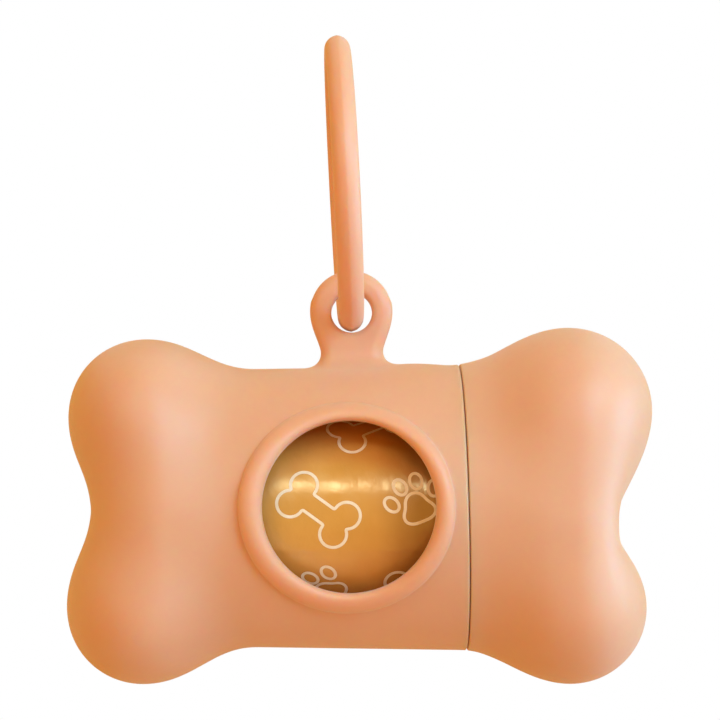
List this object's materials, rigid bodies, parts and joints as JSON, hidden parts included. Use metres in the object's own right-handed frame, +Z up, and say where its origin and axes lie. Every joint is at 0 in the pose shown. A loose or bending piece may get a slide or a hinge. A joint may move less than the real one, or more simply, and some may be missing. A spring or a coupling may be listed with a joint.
{
  "type": "dog waste bag dispenser",
  "caption": "Bone-shaped silicone dispenser with a pull-off end cap, a round window over a roll of bags and a hanging ring.",
  "frame": {"origin": "the held point: the top of the ring's inner side, where a lead or clip carries the dispenser", "axes": "+X along the bone towards the end cap, +Y away from the window, +Z up along the pull of the lead"},
  "size_m": [0.0902, 0.0476, 0.0995],
  "materials": {
    "silicone": "matt peach silicone",
    "ring_silicone": "matt peach silicone",
    "card": "plain brown board",
    "film": "satin golden orange film"
  },
  "bodies": {
    "ring": {"hanging_ring": "ring_silicone"},
    "dispenser": {"dispenser_body": "silicone"},
    "cap": {"end_cap": "silicone"},
    "bag_roll": {"roll_core": "card", "bag_01": "film", "bag_02": "film", "bag_03": "film", "bag_04": "film", "bag_05": "film", "bag_06": "film", "bag_07": "film", "bag_08": "film", "bag_09": "film", "bag_10": "film", "bag_11": "film", "bag_12": "film", "bag_13": "film", "bag_14": "film", "bag_15": "film"}
  },
  "joints": [
    {"name": "swing", "type": "hinge", "parent": "ring", "child": "dispenser", "pos_m": [0.00225, 0, -0.03828], "axis": [0, 1, 0], "range_deg": [-94, 91]},
    {"name": "cap_pull", "type": "slide", "parent": "dispenser", "child": "cap", "axis": [1, 0, 0], "range_m": [0, 0.04]},
    {"name": "roll_spin", "type": "hinge", "parent": "dispenser", "child": "bag_roll", "pos_m": [0.00225, 0, -0.06909], "axis": [1, 0, 0], "continuous": true}
  ]
}
